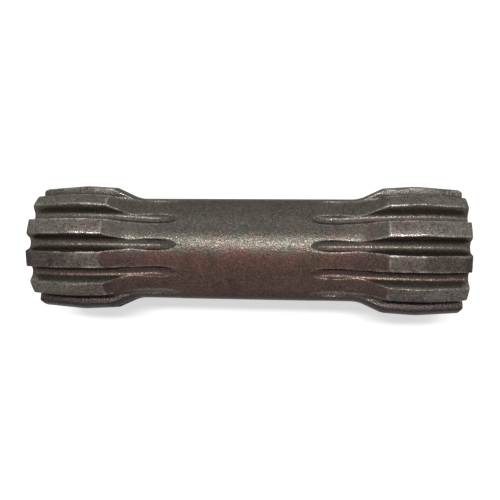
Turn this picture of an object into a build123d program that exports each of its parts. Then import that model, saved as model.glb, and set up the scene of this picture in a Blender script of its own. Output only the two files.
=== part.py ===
from build123d import *
from math import acos, asin, atan2, cos, degrees, radians, sin, sqrt, tan
import os

# Pinion shaft of a low-speed drive: one steel bar, turned to a waisted outline, with the same crowned
# pinion cut on both heads. The shaft lies along X with its middle at the origin, and rests on two teeth
# of each head, so that a tooth space points straight up and another straight down.
# All lengths are in millimetres and all angles in degrees.

# Turned outline, from the middle of the shaft to its end
overall_length = 103.6
shank_diameter = 25.6
shoulder_angle = 25.0
shoulder_radius = 8.0
shoulder_edge_radius = 1.2
shoulder_edge_diameter = 31.1
shoulder_edge_to_end = 18.2
tip_diameter = 32.0
crown_to_end = 10.5
crown_blend_radius = 18.0
end_tip_diameter = 30.4
end_chamfer_length = 0.4
end_chamfer_depth = 0.4

# Centre hole in each end face, in which the bar turned between centres
centre_mouth_diameter = 6.7
centre_mouth_angle = 60.0
centre_pilot_diameter = 3.15
centre_pilot_depth = 7.5
drill_point_angle = 118.0

# Involute form of the teeth
tooth_count = 12
tooth_module = 2.5
pressure_angle = 20.0
space_width = 3.5

# Path of the cutter along a tooth space: highest at the crown, relieved towards the end of the shaft,
# crowned more gently towards the middle, then lifted out of the shank
root_diameter = 25.9
relief_radius = 90.0
crowning_radius = 155.0
run_out_radius = 15.0
space_length = 36.0

# Air that a cut passes through, beyond the bar
clearance = 1.0

end_x = overall_length / 2
shoulder_edge_x = end_x - shoulder_edge_to_end
crown_x = end_x - crown_to_end
run_out_x = end_x - space_length
shank_radius = shank_diameter / 2
root_radius = root_diameter / 2
pitch_radius = tooth_module * tooth_count / 2
base_radius = pitch_radius * cos(radians(pressure_angle))
cut_radius = max(tip_diameter, shoulder_edge_diameter, end_tip_diameter) / 2 + clearance


def turned_bar():
    """The bar before its teeth are cut: the turned outline with a centre hole at each end, revolved."""
    edge_radius = shoulder_edge_diameter / 2
    shoulder_foot_x = shoulder_edge_x - (edge_radius - shank_radius) / tan(radians(shoulder_angle))
    end_radius = end_tip_diameter / 2
    mouth_radius = centre_mouth_diameter / 2
    pilot_radius = centre_pilot_diameter / 2
    mouth_depth = (mouth_radius - pilot_radius) / tan(radians(centre_mouth_angle / 2))
    pilot_x = end_x - centre_pilot_depth
    drill_point = pilot_radius / tan(radians(drill_point_angle / 2))
    corners = [
        (0, shank_radius),
        (shoulder_foot_x, shank_radius),
        (shoulder_edge_x, edge_radius),
        (crown_x, tip_diameter / 2),
        (end_x - end_chamfer_length, end_radius),
        (end_x, end_radius - end_chamfer_depth),
        (end_x, mouth_radius),
        (end_x - mouth_depth, pilot_radius),
        (pilot_x, pilot_radius),
        (pilot_x - drill_point, 0),
    ]
    # On a low shoulder, the fillet at its foot is limited to four fifths of the slope
    slope_length = (edge_radius - shank_radius) / sin(radians(shoulder_angle))
    foot_radius = min(shoulder_radius, 0.8 * slope_length / tan(radians(shoulder_angle / 2)))
    sharp_corners = [0] * (len(corners) - 5)
    rounding = [foot_radius, shoulder_edge_radius, crown_blend_radius] + sharp_corners
    with BuildPart() as bar:
        with BuildSketch(Plane.XZ):
            with BuildLine():
                right_half = FilletPolyline(*corners, radius=rounding)
                mirror(right_half, about=Plane.YZ)
                Line(right_half @ 1, (-pilot_x + drill_point, 0))
            make_face()
        revolve(axis=Axis.X)
    return bar.part


def involute(angle):
    """The involute function, for a pressure angle in radians."""
    return tan(angle) - angle


def space_outline():
    """A tooth space across the shaft, as a face: involute flanks running into a full-round root."""
    at_pitch = asin(space_width / 2 / pitch_radius)
    at_base = at_pitch - involute(radians(pressure_angle))
    steps = 6
    last_angle = acos(base_radius / cut_radius)
    flank = []
    for step in range(steps + 1):
        # Equal steps of the tangent of the pressure angle put the points closer together at the root
        slope = tan(last_angle) * step / steps
        radius = base_radius * sqrt(1 + slope ** 2)
        turn = at_base + slope - atan2(slope, 1)
        flank.append((radius * sin(turn), radius * cos(turn) - root_radius))
    round_centre = root_radius / (1 - sin(at_base))
    round_radius = round_centre - root_radius
    tangent_x = round_radius * cos(at_base)
    tangent_y = round_radius * (1 - sin(at_base))
    # Above the flanks, the cut also clears the bar where its path falls towards the end of the shaft
    fall = relief_radius - sqrt(relief_radius ** 2 - (crown_to_end + clearance) ** 2)
    top_x = flank[-1][0]
    top_y = cut_radius + fall - root_radius
    with BuildSketch() as outline:
        with BuildLine():
            right_flank = Spline(*flank, tangents=[(sin(at_base), cos(at_base)), flank_exit(last_angle, at_base)])
            right_line = Line((tangent_x, tangent_y), right_flank @ 0)
            ThreePointArc((-tangent_x, tangent_y), (0, 0), (tangent_x, tangent_y))
            mirror(right_line, about=Plane.YZ)
            mirror(right_flank, about=Plane.YZ)
            right_side = Line(right_flank @ 1, (top_x, top_y))
            mirror(right_side, about=Plane.YZ)
            Line((top_x, top_y), (-top_x, top_y))
        make_face()
    return outline.sketch


def flank_exit(angle, at_base):
    """Direction of the involute flank where its pressure angle, in radians, is the given one."""
    turn = at_base + involute(angle) + angle
    return (sin(turn), cos(turn))


def cutter_path():
    """The line that the bottom of a tooth space follows on the right head, from the end inwards."""
    relief_centre = (crown_x, root_radius - relief_radius)
    relief_angle = degrees(asin((crown_to_end + clearance) / relief_radius))
    crowning_centre = (crown_x, root_radius - crowning_radius)
    # The run-out arc touches the crowning arc and leaves the shank at the end of the space
    to_exit = Vector(run_out_x - crowning_centre[0], shank_radius - crowning_centre[1])
    reach = crowning_radius + run_out_radius
    spread = acos((reach ** 2 + to_exit.length ** 2 - run_out_radius ** 2) / (2 * reach * to_exit.length))
    touch = atan2(-to_exit.X, to_exit.Y) - spread
    run_out_centre = (crown_x - reach * sin(touch), crowning_centre[1] + reach * cos(touch))
    lift = acos((run_out_centre[1] - shank_radius - clearance) / run_out_radius)
    touch_angle = degrees(touch)
    arcs = [
        CenterArc(relief_centre, relief_radius, 90 - relief_angle, relief_angle),
        CenterArc(crowning_centre, crowning_radius, 90, touch_angle),
        CenterArc(run_out_centre, run_out_radius, 270 + touch_angle, -touch_angle - degrees(lift)),
    ]
    # The three arcs are followed as one smooth line, so that each flank is a single surface
    steps = 4
    points = [arc @ (step / steps) for arc in arcs for step in range(steps)]
    path = Spline(*points, arcs[-1] @ 1, tangents=[arcs[0] % 0, arcs[-1] % 1])
    return Plane.XZ * path


def tooth_space():
    """The metal that the cutter takes out of one tooth space of the right head, at the top of the shaft."""
    path = cutter_path()
    across = Plane(origin=path @ 0, x_dir=(0, -1, 0), z_dir=path % 0)
    return sweep(across * space_outline(), path=path)


def pinion_shaft():
    """The turned bar with the spaces of both heads cut, in line with each other."""
    right_space = tooth_space()
    left_space = mirror(right_space, about=Plane.YZ)
    pitch = 360 / tooth_count
    cuts = []
    for tooth in range(tooth_count):
        cuts.append(Rot(X=tooth * pitch) * right_space)
        cuts.append(Rot(X=tooth * pitch) * left_space)
    return turned_bar() - cuts


os.makedirs("parts", exist_ok=True)
export_step(pinion_shaft(), "parts/pinion_shaft.step")
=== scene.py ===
from math import acos, asin, atan2, cos, hypot, pi, radians, sin, tan

import bpy
import numpy as np
from mathutils import Matrix, Vector


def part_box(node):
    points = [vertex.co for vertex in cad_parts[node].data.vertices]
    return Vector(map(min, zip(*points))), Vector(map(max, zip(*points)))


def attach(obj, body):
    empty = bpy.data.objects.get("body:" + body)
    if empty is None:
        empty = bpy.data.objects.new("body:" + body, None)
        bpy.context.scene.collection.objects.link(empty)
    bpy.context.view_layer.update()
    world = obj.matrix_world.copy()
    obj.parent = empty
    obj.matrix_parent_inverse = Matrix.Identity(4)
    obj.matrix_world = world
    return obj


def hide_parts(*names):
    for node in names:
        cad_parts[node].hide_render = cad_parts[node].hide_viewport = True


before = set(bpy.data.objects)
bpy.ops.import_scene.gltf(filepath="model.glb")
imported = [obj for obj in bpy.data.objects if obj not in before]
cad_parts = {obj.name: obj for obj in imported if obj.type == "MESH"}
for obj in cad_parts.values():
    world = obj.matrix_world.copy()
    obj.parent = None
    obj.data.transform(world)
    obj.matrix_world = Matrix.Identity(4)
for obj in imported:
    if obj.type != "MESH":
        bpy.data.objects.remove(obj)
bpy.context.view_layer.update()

# The pinion shaft: one bar of alloy steel, turned to a waisted outline and hobbed with the same twelve
# crowned teeth on both heads, then hardened, blackened and oiled. Its edges are worn bright by the toothed
# bores it has driven, and old oil stays dark in the tooth spaces. All sizes are in metres.

lowest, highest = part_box("pinion_shaft")
end_x = highest.x
tip_radius = 0.016
shank_radius = 0.0128
shoulder_edge_x = end_x - 0.0182
shoulder_edge_radius = 0.01555
shoulder_angle = radians(25)
shoulder_foot_x = shoulder_edge_x - (shoulder_edge_radius - shank_radius) / tan(shoulder_angle)
crown_x = end_x - 0.0105
chamfer_x = end_x - 0.0004
chamfer_top_radius = 0.0152
chamfer_end_radius = 0.0148
foot_round = 0.008
edge_round = 0.0012
crown_round = 0.018
chamfer_round = 0.0004

tooth_count = 12
pitch_angle = 2 * pi / tooth_count
pitch_radius = 0.015
pressure_angle = radians(20)
base_radius = pitch_radius * cos(pressure_angle)
space_width = 0.0035
bottom_sweep = radians(65)
flank_start_radius = 0.0144
cut_clearance = 0.001

root_radius = 0.01295
relief_radius = 0.09
crowning_radius = 0.155
run_out_radius = 0.015
run_out_x = end_x - 0.036

edge_break = 0.00015
edge_wear_width = 0.00025
line_wear_width = 0.0002
full_wear_depth = 0.0025
least_wear = 0.3
bottom_width = 0.0007
driven_x = (shoulder_edge_x + crown_x) / 2
driven_reach = 0.006
web_radius = 0.0112
mouth_radius = 0.00335
pilot_radius = 0.001575
mouth_angle = radians(60)
drill_point_angle = radians(118)
pilot_start_x = end_x - (mouth_radius - pilot_radius) / tan(mouth_angle / 2)
pilot_end_x = end_x - 0.0075
drill_point_x = pilot_end_x - pilot_radius / tan(drill_point_angle / 2)


def turned_line(corners, radii):
    """The turned outline through the corners, each rounded to its radius, as stations and their radii."""
    points = [complex(*corners[0])]
    for before, corner, after, radius in zip(corners, corners[1:], corners[2:], radii):
        corner = complex(*corner)
        back = complex(*before) - corner
        ahead = complex(*after) - corner
        back /= abs(back)
        ahead /= abs(ahead)
        half_angle = abs(np.angle(ahead / back)) / 2
        start = corner + back * radius / tan(half_angle)
        end = corner + ahead * radius / tan(half_angle)
        centre = corner + (back + ahead) / abs(back + ahead) * radius / sin(half_angle)
        sweep = np.angle((end - centre) / (start - centre))
        points += [centre + (start - centre) * np.exp(1j * sweep * step / 24) for step in range(25)]
    points.append(complex(*corners[-1]))
    line = np.array(points)
    return line.real, line.imag


def cutter_outline():
    """Half of the cutter's outline: distance from its middle, height above its lowest point, length along it.

    The round bottom stops a little before the involute flank starts, and a short straight joins them.
    """
    at_pitch = asin(space_width / 2 / pitch_radius)
    at_base = at_pitch - tan(pressure_angle) + pressure_angle
    round_radius = root_radius / (1 - sin(at_base)) - root_radius
    turn = np.linspace(0, bottom_sweep, 60)
    bottom = round_radius * (np.sin(turn) + 1j * (1 - np.cos(turn)))
    first_slope = tan(acos(base_radius / flank_start_radius))
    last_slope = tan(acos(base_radius / (tip_radius + cut_clearance)))
    slope = np.linspace(first_slope, last_slope, 120)
    radius = base_radius * np.sqrt(1 + slope**2)
    involute_turn = at_base + slope - np.arctan(slope)
    flank = radius * (np.sin(involute_turn) + 1j * np.cos(involute_turn)) - 1j * root_radius
    outline = np.concatenate([bottom, flank])
    length = np.concatenate([[0], np.cumsum(abs(np.diff(outline)))])
    return outline.real, outline.imag, length


bar_x, bar_radius = turned_line(
    [
        (0, shank_radius),
        (shoulder_foot_x, shank_radius),
        (shoulder_edge_x, shoulder_edge_radius),
        (crown_x, tip_radius),
        (chamfer_x, chamfer_top_radius),
        (end_x, chamfer_end_radius),
    ],
    [foot_round, edge_round, crown_round, chamfer_round],
)
across, above, along = cutter_outline()

# Where the crowning arc of the cutter's path meets the arc on which it runs out of the shank
crowning_centre = root_radius - crowning_radius
between_centres = crowning_radius + run_out_radius
to_exit = hypot(run_out_x - crown_x, shank_radius - crowning_centre)
spread = acos((between_centres**2 + to_exit**2 - run_out_radius**2) / (2 * between_centres * to_exit))
touch = atan2(crown_x - run_out_x, shank_radius - crowning_centre) - spread
run_out_centre_x = crown_x - between_centres * sin(touch)
run_out_centre = crowning_centre + between_centres * cos(touch)


def cutter_height(x):
    """Distance from the axis, at station x, of each point of the cutter's outline."""
    if x > crown_x:
        return root_radius - relief_radius + np.sqrt((relief_radius + above) ** 2 - (x - crown_x) ** 2)
    crowning = crowning_centre + np.sqrt((crowning_radius + above) ** 2 - (x - crown_x) ** 2)
    run_out_square = (run_out_radius - above) ** 2 - (x - run_out_centre_x) ** 2
    run_out = run_out_centre - np.sqrt(np.maximum(run_out_square, 0))
    return np.where(x > crown_x - (crowning_radius + above) * sin(touch), crowning, run_out)


flank_points = 12
break_points = 2
land_points = 5
half_points = flank_points + break_points + land_points
even_angles = np.linspace(0, pitch_angle / 2, half_points)


def toothed_half(x):
    """Half a pitch of the outline across station x, from the middle of a space to the middle of a tooth.

    The points are complex numbers, with the middle of the space on the real axis. With them come four values
    of each point: wear by its nearness to the edge of the tooth, depth down the flank from that edge,
    nearness to the bottom of the space, and whether it is on the top of a tooth.
    """
    turned = np.interp(x, bar_x, bar_radius)
    height = cutter_height(x)
    cut_length = np.interp(turned, np.hypot(across, height), along)
    corner = np.interp(cut_length, along, height) + 1j * np.interp(cut_length, along, across)
    broken = min(edge_break, cut_length / 8)

    flank_length = np.linspace(0, cut_length - broken, flank_points)
    flank = np.interp(flank_length, along, height) + 1j * np.interp(flank_length, along, across)
    land_angle = np.linspace(np.angle(corner) + broken / turned, pitch_angle / 2, land_points)
    land = turned * np.exp(1j * land_angle)
    step = np.arange(1, break_points + 1) / (break_points + 1)
    rounded = (1 - step) ** 2 * flank[-1] + 2 * step * (1 - step) * corner + step**2 * land[0]

    land_length = turned * (land_angle - np.angle(corner))
    from_edge = np.concatenate([cut_length - flank_length, 0 * step, land_length])
    driven = least_wear + (1 - least_wear) * np.exp(-(((x - driven_x) / driven_reach) ** 2))
    wear = np.exp(-((from_edge / edge_wear_width) ** 2)) * min(1, cut_length / full_wear_depth) * driven
    depth = np.concatenate([cut_length - flank_length, 0 * step, 0 * land_angle])
    bottom = np.concatenate([np.exp(-((flank_length / bottom_width) ** 2)), 0 * step, 0 * land_angle])
    on_head = np.clip((x - shoulder_edge_x) / line_wear_width, 0, 1)
    top = np.concatenate([0 * flank_length, 1 + 0 * step, 1 + 0 * land_angle]) * on_head
    return np.concatenate([flank, rounded, land]), np.array([wear, depth, bottom, top])


def whole_ring(x, half, values):
    """One ring of vertices, from half a pitch of it: x, y, z, wear, depth, bottom and top of each."""
    pitch = np.concatenate([half[:-1], np.conj(half[:0:-1]) * np.exp(1j * pitch_angle)])
    turns = np.exp(1j * pitch_angle * np.arange(tooth_count))
    points = (turns[:, None] * pitch).ravel()
    all_values = [np.tile(np.concatenate([value[:-1], value[:0:-1]]), tooth_count) for value in values]
    return np.column_stack([np.full(len(points), x), points.imag, points.real, *all_values])


def inset_ring(ring, x, inset):
    """The ring moved to x and drawn in from its outline, as an edge broken with a stone."""
    outline = ring[:, 2] + 1j * ring[:, 1]
    inwards = 1j * (np.roll(outline, -1) - np.roll(outline, 1))
    moved = outline + inset * inwards / abs(inwards)
    return np.column_stack([np.full(len(moved), x), moved.imag, moved.real, ring[:, 3:]])


def plain_ring(x, radius, wear=0.0):
    """A round ring with its points evenly spaced."""
    values = np.zeros((4, half_points))
    values[0] = wear
    return whole_ring(x, radius * np.exp(1j * even_angles), values)


def right_half():
    """The rings from the middle of the shaft to its right end, over the end face and down the centre hole."""
    space_x = run_out_x + 0.00002
    lip_x = space_x + 0.0015
    before_edge_x = shoulder_edge_x - 0.0008
    after_edge_x = shoulder_edge_x + 0.0008
    before_chamfer_x = chamfer_x - 0.0002
    first_half, first_values = toothed_half(space_x)
    rings = []
    for share in np.linspace(0, 1, 8, endpoint=False):
        ease = share**2 * (3 - 2 * share)
        angles = even_angles + ease * (np.angle(first_half) - even_angles)
        rings.append(whole_ring(share * space_x, shank_radius * np.exp(1j * angles), 0 * first_values))
    stations = np.concatenate(
        [
            space_x + (lip_x - space_x) * np.linspace(0, 1, 9, endpoint=False) ** 2,
            np.linspace(lip_x, before_edge_x, 34, endpoint=False),
            np.linspace(before_edge_x, after_edge_x, 8, endpoint=False),
            np.linspace(after_edge_x, before_chamfer_x, 30, endpoint=False),
            np.linspace(before_chamfer_x, end_x - edge_break, 6),
        ]
    )
    for x in stations:
        half, values = toothed_half(x)
        from_line = min(abs(x - shoulder_edge_x), end_x - x)
        line_wear = 0.6 * np.exp(-((from_line / line_wear_width) ** 2)) * (values[1] == 0)
        values[0] = np.maximum(values[0], line_wear)
        rings.append(whole_ring(x, half, values))
    outline = rings[-1]
    for turn in (radians(30), radians(60), radians(90)):
        rings.append(inset_ring(outline, end_x - edge_break * (1 - sin(turn)), edge_break * (1 - cos(turn))))
    rings[-1][:, 3:] = 0
    rings.append(plain_ring(end_x, web_radius))
    rings.append(plain_ring(end_x, mouth_radius + 2 * edge_break))
    rings.append(plain_ring(end_x, mouth_radius + edge_break / 2, 0.8))
    rings.append(plain_ring(end_x - edge_break / 2, mouth_radius, 0.8))
    rings.append(plain_ring(pilot_start_x, pilot_radius))
    rings.append(plain_ring(pilot_end_x, pilot_radius))
    return rings


def shaft_mesh():
    """The whole shaft as one closed mesh, its left half the mirror image of its right half."""
    right = right_half()
    left = [ring * [-1, 1, 1, 1, 1, 1, 1] for ring in right[:0:-1]]
    rings = np.array(left + right)
    ring_count, point_count, _ = rings.shape
    tips = [[drill_point_x, 0, 0, 0, 0, 0, 0], [-drill_point_x, 0, 0, 0, 0, 0, 0]]
    vertices = np.concatenate([rings.reshape(-1, 7), tips])

    here = np.arange(ring_count * point_count).reshape(ring_count, point_count)
    beside = np.roll(here, -1, axis=1)
    quads = np.stack([here[:-1], here[1:], beside[1:], beside[:-1]], axis=-1).reshape(-1, 4)
    right_tip = ring_count * point_count
    left_tip = right_tip + 1
    right_fan = [(a, right_tip, b) for a, b in zip(here[-1].tolist(), beside[-1].tolist())]
    left_fan = [(left_tip, a, b) for a, b in zip(here[0].tolist(), beside[0].tolist())]

    mesh = bpy.data.meshes.new("shaft")
    mesh.from_pydata(vertices[:, :3].tolist(), [], quads.tolist() + right_fan + left_fan)
    for column, name in ((3, "wear"), (4, "depth"), (5, "bottom"), (6, "top")):
        mesh.attributes.new(name, "FLOAT", "POINT").data.foreach_set("value", vertices[:, column])
    mesh.shade_smooth()
    return mesh


class Signal:
    """A socket of a node tree. Sums on it are written as plain expressions, which add Math nodes."""

    def __init__(self, tree, socket=None):
        self.tree = tree
        self.socket = socket

    def node(self, kind, settings=None, sockets=None, output=0):
        """Adds a node: its settings are made first, and then its sockets get numbers, colours or links."""
        made = self.tree.nodes.new(kind)
        for name, value in (settings or {}).items():
            setattr(made, name, value)
        for name, value in (sockets or {}).items():
            if isinstance(value, Signal):
                self.tree.links.new(value.socket, made.inputs[name])
            else:
                made.inputs[name].default_value = value
        return Signal(self.tree, made.outputs[output] if made.outputs else None)

    def math(self, operation, first, second):
        return self.node("ShaderNodeMath", {"operation": operation}, {0: first, 1: second})

    def __add__(self, other):
        return self.math("ADD", self, other)

    __radd__ = __add__

    def __sub__(self, other):
        return self.math("SUBTRACT", self, other)

    def __rsub__(self, other):
        return self.math("SUBTRACT", other, self)

    def __mul__(self, other):
        return self.math("MULTIPLY", self, other)

    __rmul__ = __mul__

    def ramp(self, low, high):
        """A smooth step: 0 where this is at low, and 1 where it is at high."""
        return self.node(
            "ShaderNodeMapRange", {"interpolation_type": "SMOOTHSTEP"}, {0: self, 1: low, 2: high}
        )

    def blend(self, below, over):
        """The colour below where this is 0, and the colour over it where this is 1."""
        return self.node("ShaderNodeMix", {"data_type": "RGBA"}, {0: self, 6: below, 7: over}, 2)

    def scaled(self, factor):
        """This colour, made lighter or darker."""
        return self.node("ShaderNodeVectorMath", {"operation": "SCALE"}, {0: self, "Scale": factor})


def noise(place, size, detail=2.0, roughness=0.5, distortion=0.0):
    """Random patches about as large as size, between 0 and 1."""
    sockets = {0: place, "Scale": 1 / size, "Detail": detail, "Roughness": roughness}
    sockets["Distortion"] = distortion
    return place.node("ShaderNodeTexNoise", {}, sockets)


def dab(place, x, y, z, size):
    """A soft spot of this size round one point of the shaft: 1 at its middle, and 0 outside it."""
    away = place.node("ShaderNodeVectorMath", {"operation": "DISTANCE"}, {0: place, 1: (x, y, z)}, "Value")
    return 1 - away.ramp(size / 4, size / 2)


def oiled_steel():
    """Pitted steel under an olive and rust-brown patina, oily in its cuts and worn bare along its edges, with
    painted shade towards its front.
    """
    olive = (0.066, 0.062, 0.052, 1)
    drab = (0.074, 0.061, 0.053, 1)
    rust = (0.105, 0.053, 0.045, 1)
    brown = (0.074, 0.047, 0.037, 1)
    shaded_plum = (0.050, 0.032, 0.031, 1)
    mauve = (0.068, 0.043, 0.041, 1)
    pale = (0.122, 0.114, 0.100, 1)
    shaded_slate = (0.058, 0.053, 0.047, 1)
    rubbed = (0.112, 0.094, 0.084, 1)
    old_oil = (0.072, 0.060, 0.051, 1)
    # A dark colour for the dried oil spots, and for painted shade at the front.
    dried_oil_and_shade = (0.032, 0.025, 0.025, 1)
    bare = (0.46, 0.43, 0.39, 1)
    material = bpy.data.materials.new("oiled_steel")
    material.use_nodes = True
    material.node_tree.nodes.clear()
    steel = Signal(material.node_tree)
    place = steel.node("ShaderNodeTexCoord", {}, {}, "Object")
    wear = steel.node("ShaderNodeAttribute", {"attribute_name": "wear"}, {}, "Fac")
    depth = steel.node("ShaderNodeAttribute", {"attribute_name": "depth"}, {}, "Fac")
    bottom = steel.node("ShaderNodeAttribute", {"attribute_name": "bottom"}, {}, "Fac")
    top = steel.node("ShaderNodeAttribute", {"attribute_name": "top"}, {}, "Fac")

    side = steel.node("ShaderNodeSeparateXYZ", {}, {0: place}, "Y") * (1 / shank_radius)
    reach = steel.math("ABSOLUTE", steel.node("ShaderNodeSeparateXYZ", {}, {0: place}, "X"), 0.0)
    rings = steel.node("ShaderNodeVectorMath", {"operation": "MULTIPLY"}, {0: place, 1: (1, 0.06, 0.06)})

    grain = noise(place, 0.00028, 1.0, 0.6)
    pits = noise(place, 0.0007, 2.0, 0.6)
    marks = noise(rings, 0.0004, 2.0, 0.6)
    patch = noise(place, 0.0035, 3.0, 0.6, 0.3)
    cloud = noise(place, 0.010, 3.0, 0.55, 0.3)
    haze = noise(place, 0.006, 2.0, 0.5, 0.5)

    # The patina: olive at the back, through rust and brown to plum at the front, and mauve on the shoulders.
    # On the end faces it is mixed in patches, and not drawn from one side to the other.
    face = (reach - end_x).ramp(-0.0002, -0.00005)
    # Painted shade: the drift follows the side of the shaft, so the patina grows darker towards the front as
    # shade.
    shade_and_patina_drift = side * (1 - face * 0.8) + (cloud - 0.5) * 0.5 + (patch - 0.5) * (0.35 + face * 0.6)
    tint = shade_and_patina_drift.ramp(-0.95, -0.60).blend(shaded_plum, brown)
    shoulder = reach.ramp(0.019, 0.028)
    rusty = shade_and_patina_drift.ramp(-0.62, -0.30) * haze.ramp(0.35, 0.60)
    tint = rusty.blend(tint, shoulder.blend(rust, mauve))
    upper = (haze.ramp(0.42, 0.62) * (1 - side.ramp(0.6, 0.9))).blend(olive, drab)
    tint = shade_and_patina_drift.ramp(-0.26, 0.02).blend(tint, upper)

    # The tops of the teeth, rubbed paler where they drive, and darker at the outer ends of the front-facing
    # ones
    # Painted shade: the tops of the teeth that face the front take a darker slate than the others, as the
    # lamps stand behind.
    front_shade = side.ramp(-0.66, -0.54) * (1 - side.ramp(-0.08, 0.08))
    outer = front_shade.blend(pale, shaded_slate)
    driving = (reach - crown_x + (patch - 0.5) * 0.006).ramp(-0.001, 0.001)
    tint = (top * 0.7).blend(tint, driving.blend(rubbed, outer))
    tip = (reach - end_x + (patch - 0.5) * 0.002).ramp(-0.0018, -0.0012) * front_shade * top * 0.6
    tint = tip.blend(tint, dried_oil_and_shade)

    # Old oil in the tooth spaces, but for one row of flanks that has been rubbed as bare as the tops; its
    # pale colour is also painted light, standing in for the light from behind that the neighbouring tooth
    # blocks
    lit_and_rubbed_side = side.ramp(-0.90, -0.82) * (1 - side.ramp(-0.66, -0.58))
    lit_and_rubbed_flank = lit_and_rubbed_side * depth.ramp(0.0, 0.0002)
    grime = depth.ramp(0.0003, 0.0020) * (1 - bottom) * (0.8 + (patch - 0.5) * 0.4) * (1 - lit_and_rubbed_flank)
    # Painted shade: the bottoms of the spaces on the front side take the darker colour.
    tint = (bottom * 0.5).blend(tint, side.ramp(-0.4, -0.1).blend(dried_oil_and_shade, old_oil))
    tint = grime.blend(tint, old_oil)
    tint = (lit_and_rubbed_flank * 0.9).blend(tint, pale)
    # Painted shade: darker still along the front edge of the shaft.
    under = 1 - side.ramp(-1.02, -0.88)
    tint = under.blend(tint, dried_oil_and_shade)

    # Two spots of dried oil on the front of the left head
    dried = dab(place, -0.0326, -0.0100, 0.0119, 0.0024) + dab(place, -0.0453, -0.0044, 0.0152, 0.0020)
    tint = (dried * pits.ramp(0.35, 0.55)).blend(tint, dried_oil_and_shade)

    # Pits and bright points of bare metal, finer than a grain of sand. The upper side of the shoulders is a
    # little lighter, and the far side of the shank a little darker, as painted shade.
    points = grain.ramp(0.44, 0.76)
    shade = 0.78 + points * 1.0 + (pits - 0.5) * (1.0 + top * 0.8) + (patch - 0.5) * 0.4
    shade = shade + shoulder * side.ramp(-0.05, 0.10) * (1 - side.ramp(0.45, 0.65)) * (1 - top) * 0.2
    shade = shade - side.ramp(0.88, 1.0) * 0.2
    tint = tint.scaled(shade)

    # The edges of the teeth, worn to bare metal in short lengths
    driven_edge = wear * side.ramp(-1.0, -0.9) * (1 - lit_and_rubbed_side * 0.8)
    bared = driven_edge * patch.ramp(0.36, 0.60) * grain.ramp(0.35, 0.60)
    tint = bared.blend(tint, bare)

    roughness = 0.34 - points * 0.14 - bared * 0.1
    relief = grain + pits * 0.6 + marks * 0.2
    bump = steel.node("ShaderNodeBump", {}, {"Distance": 0.00005, "Height": relief}, "Normal")
    shader = steel.node(
        "ShaderNodeBsdfPrincipled",
        {},
        {
            "Base Color": tint,
            "Metallic": 0.75,
            "Roughness": roughness,
            "Specular Tint": (0.30, 0.28, 0.26, 1),
            "Normal": bump,
        },
    )
    steel.node("ShaderNodeOutputMaterial", {}, {"Surface": shader})
    return material


shaft = bpy.data.objects.new("shaft", shaft_mesh())
bpy.context.scene.collection.objects.link(shaft)
shaft.data.materials.append(oiled_steel())
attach(shaft, "root")
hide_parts("pinion_shaft")

# The table: a plain white sheet under the shaft, which rests on two teeth of each head. It shows pure white
# to the camera and in the metal's reflections, and still takes the shaft's shadow.

table_size = 3.0
sheet_white = 0.65
sheet_lift = 0.53


def white_sheet():
    """Matt white, lifted to full white where the camera or a reflection sees it."""
    material = bpy.data.materials.new("white_sheet")
    material.use_nodes = True
    material.node_tree.nodes.clear()
    sheet = Signal(material.node_tree)
    from_camera = sheet.node("ShaderNodeLightPath", {}, {}, "Is Camera Ray")
    from_gloss = sheet.node("ShaderNodeLightPath", {}, {}, "Is Glossy Ray")
    from_glass = sheet.node("ShaderNodeLightPath", {}, {}, "Is Transmission Ray")
    matt = sheet.node("ShaderNodeBsdfDiffuse", {}, {"Color": (sheet_white, sheet_white, sheet_white, 1)})
    lift = (from_camera + from_gloss + from_glass) * sheet_lift
    glow = sheet.node("ShaderNodeEmission", {}, {"Color": (1, 1, 1, 1), "Strength": lift})
    both = sheet.node("ShaderNodeAddShader", {}, {0: matt, 1: glow})
    sheet.node("ShaderNodeOutputMaterial", {}, {"Surface": both})
    return material


half = table_size / 2
table_corners = [(-half, -half, 0), (half, -half, 0), (half, half, 0), (-half, half, 0)]
table_mesh = bpy.data.meshes.new("table")
table_mesh.from_pydata(table_corners, [], [(0, 1, 2, 3)])
table = bpy.data.objects.new("table", table_mesh)
table.location.z = lowest.z
bpy.context.scene.collection.objects.link(table)
table.data.materials.append(white_sheet())

# The light: a long soft box above the shaft, a little behind it, a large cool one further back, and the
# even light of a pale room.


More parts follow.
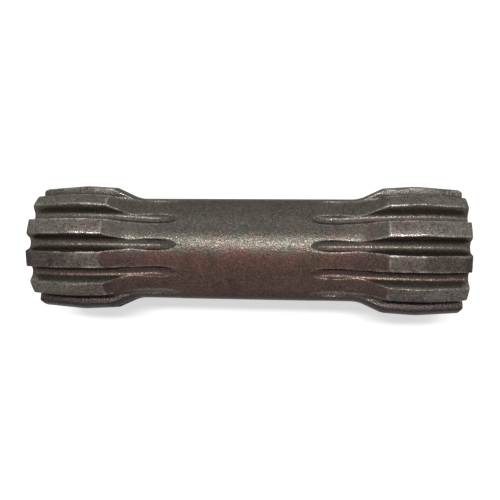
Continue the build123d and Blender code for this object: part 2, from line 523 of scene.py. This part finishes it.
def soft_box(name, height, back, size_x, size_y, power, colour):
    """A rectangular lamp that faces the middle of the shaft."""
    lamp = bpy.data.lights.new(name, "AREA")
    lamp.shape = "RECTANGLE"
    lamp.size = size_x
    lamp.size_y = size_y
    lamp.energy = power
    lamp.color = colour
    box = bpy.data.objects.new(name, lamp)
    box.location = (0, back, height)
    box.rotation_euler = (-atan2(back, height), 0, 0)
    bpy.context.scene.collection.objects.link(box)


soft_box("overhead", 0.7, 0.12, 0.45, 0.07, 3.8, (1, 0.985, 0.965))
soft_box("behind", 0.5, 0.8, 1.2, 0.6, 1.6, (0.95, 1, 0.98))

room_light = 0.35
room = bpy.data.worlds.new("room")
bpy.context.scene.world = room
room.use_nodes = True
room.node_tree.nodes.clear()
air = Signal(room.node_tree)
in_view = air.node("ShaderNodeLightPath", {}, {}, "Is Camera Ray")
in_gloss = air.node("ShaderNodeLightPath", {}, {}, "Is Glossy Ray")
in_glass = air.node("ShaderNodeLightPath", {}, {}, "Is Transmission Ray")
strength = (in_view + in_gloss + in_glass) * (1 - room_light) + room_light
background = air.node("ShaderNodeBackground", {}, {"Color": (1, 1, 1, 1), "Strength": strength})
air.node("ShaderNodeOutputWorld", {}, {"Surface": background})

# The camera looks down on the shaft from nearly overhead, a little from its right end and its front, as in
# the photograph. It stands 15 cm away, so the near teeth are drawn a little larger than the far ones.

camera_distance = 0.14953
camera_lean = radians(4.03)
camera_pan = 0.0918
camera_roll = 0.0118
aim = Vector((0.000574, -0.000183, 0))

camera_data = bpy.data.cameras.new("camera")
camera_data.sensor_fit = "HORIZONTAL"
camera_data.sensor_width = 36
camera_data.lens = 42.17
camera_data.clip_start = 0.01
camera_data.clip_end = 10
camera = bpy.data.objects.new("camera", camera_data)
tilt = Matrix.Rotation(camera_lean, 4, "X") @ Matrix.Rotation(camera_pan, 4, "Y")
tilt = tilt @ Matrix.Rotation(camera_roll, 4, "Z")
camera.matrix_world = Matrix.Translation(aim) @ tilt @ Matrix.Translation((0, 0, camera_distance))
bpy.context.scene.collection.objects.link(camera)
bpy.context.scene.camera = camera
bpy.context.scene.view_settings.view_transform = "Standard"
